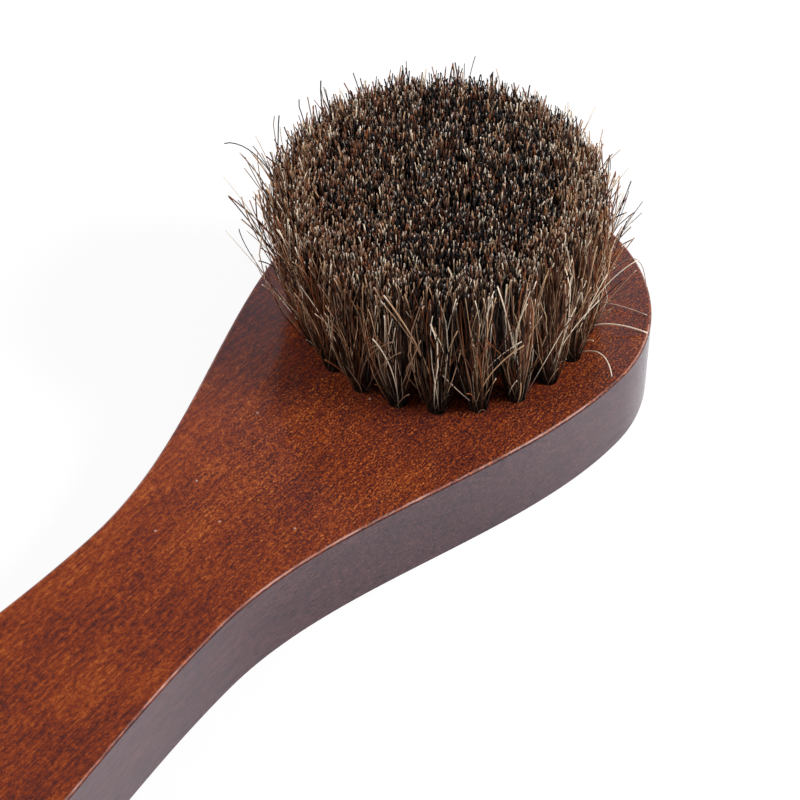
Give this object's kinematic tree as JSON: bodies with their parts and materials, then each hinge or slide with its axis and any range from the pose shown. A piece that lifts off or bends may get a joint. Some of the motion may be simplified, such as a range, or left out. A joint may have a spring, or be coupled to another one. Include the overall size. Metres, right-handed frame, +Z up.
{
  "type": "shoe shine brush",
  "caption": "Round-headed wooden shoe brush with a long handle, set with rings of trimmed horsehair tufts, lying on its flat back.",
  "frame": {"origin": "middle of the brush's bounding box on its flat back, which is the plane it lies on", "axes": "+X from the handle's end to the round head, +Y across the board, +Z up along the bristles"},
  "size_m": [0.17, 0.05, 0.0352],
  "materials": {
    "stained_wood": "reddish-brown stain under clear gloss lacquer",
    "horsehair": "mixed black, brown and pale horsehair, trimmed level",
    "anchor_wire": "flat galvanised steel wire"
  },
  "bodies": {
    "root": {"wood_board": "stained_wood", "tuft_ring1_01": "horsehair", "tuft_ring1_02": "horsehair", "tuft_ring1_03": "horsehair", "tuft_ring1_04": "horsehair", "tuft_ring1_05": "horsehair", "tuft_ring1_06": "horsehair", "tuft_ring1_07": "horsehair", "tuft_ring1_08": "horsehair", "tuft_ring1_09": "horsehair", "tuft_ring1_10": "horsehair", "tuft_ring1_11": "horsehair", "tuft_ring1_12": "horsehair", "tuft_ring1_13": "horsehair", "tuft_ring1_14": "horsehair", "tuft_ring1_15": "horsehair", "tuft_ring1_16": "horsehair", "tuft_ring1_17": "horsehair", "tuft_ring1_18": "horsehair", "tuft_ring1_19": "horsehair", "tuft_ring1_20": "horsehair", "tuft_ring1_21": "horsehair", "tuft_ring1_22": "horsehair", "tuft_ring2_01": "horsehair", "tuft_ring2_02": "horsehair", "tuft_ring2_03": "horsehair", "tuft_ring2_04": "horsehair", "tuft_ring2_05": "horsehair", "tuft_ring2_06": "horsehair", "tuft_ring2_07": "horsehair", "tuft_ring2_08": "horsehair", "tuft_ring2_09": "horsehair", "tuft_ring2_10": "horsehair", "tuft_ring2_11": "horsehair", "tuft_ring2_12": "horsehair", "tuft_ring2_13": "horsehair", "tuft_ring2_14": "horsehair", "tuft_ring2_15": "horsehair", "tuft_ring2_16": "horsehair", "tuft_ring3_01": "horsehair", "tuft_ring3_02": "horsehair", "tuft_ring3_03": "horsehair", "tuft_ring3_04": "horsehair", "tuft_ring3_05": "horsehair", "tuft_ring3_06": "horsehair", "tuft_ring3_07": "horsehair", "tuft_ring3_08": "horsehair", "tuft_ring3_09": "horsehair", "tuft_ring3_10": "horsehair", "tuft_ring4_01": "horsehair", "tuft_ring4_02": "horsehair", "tuft_ring4_03": "horsehair", "anchors_ring1": "anchor_wire", "anchors_ring2": "anchor_wire", "anchors_ring3": "anchor_wire", "anchors_ring4": "anchor_wire"}
  },
  "joints": []
}
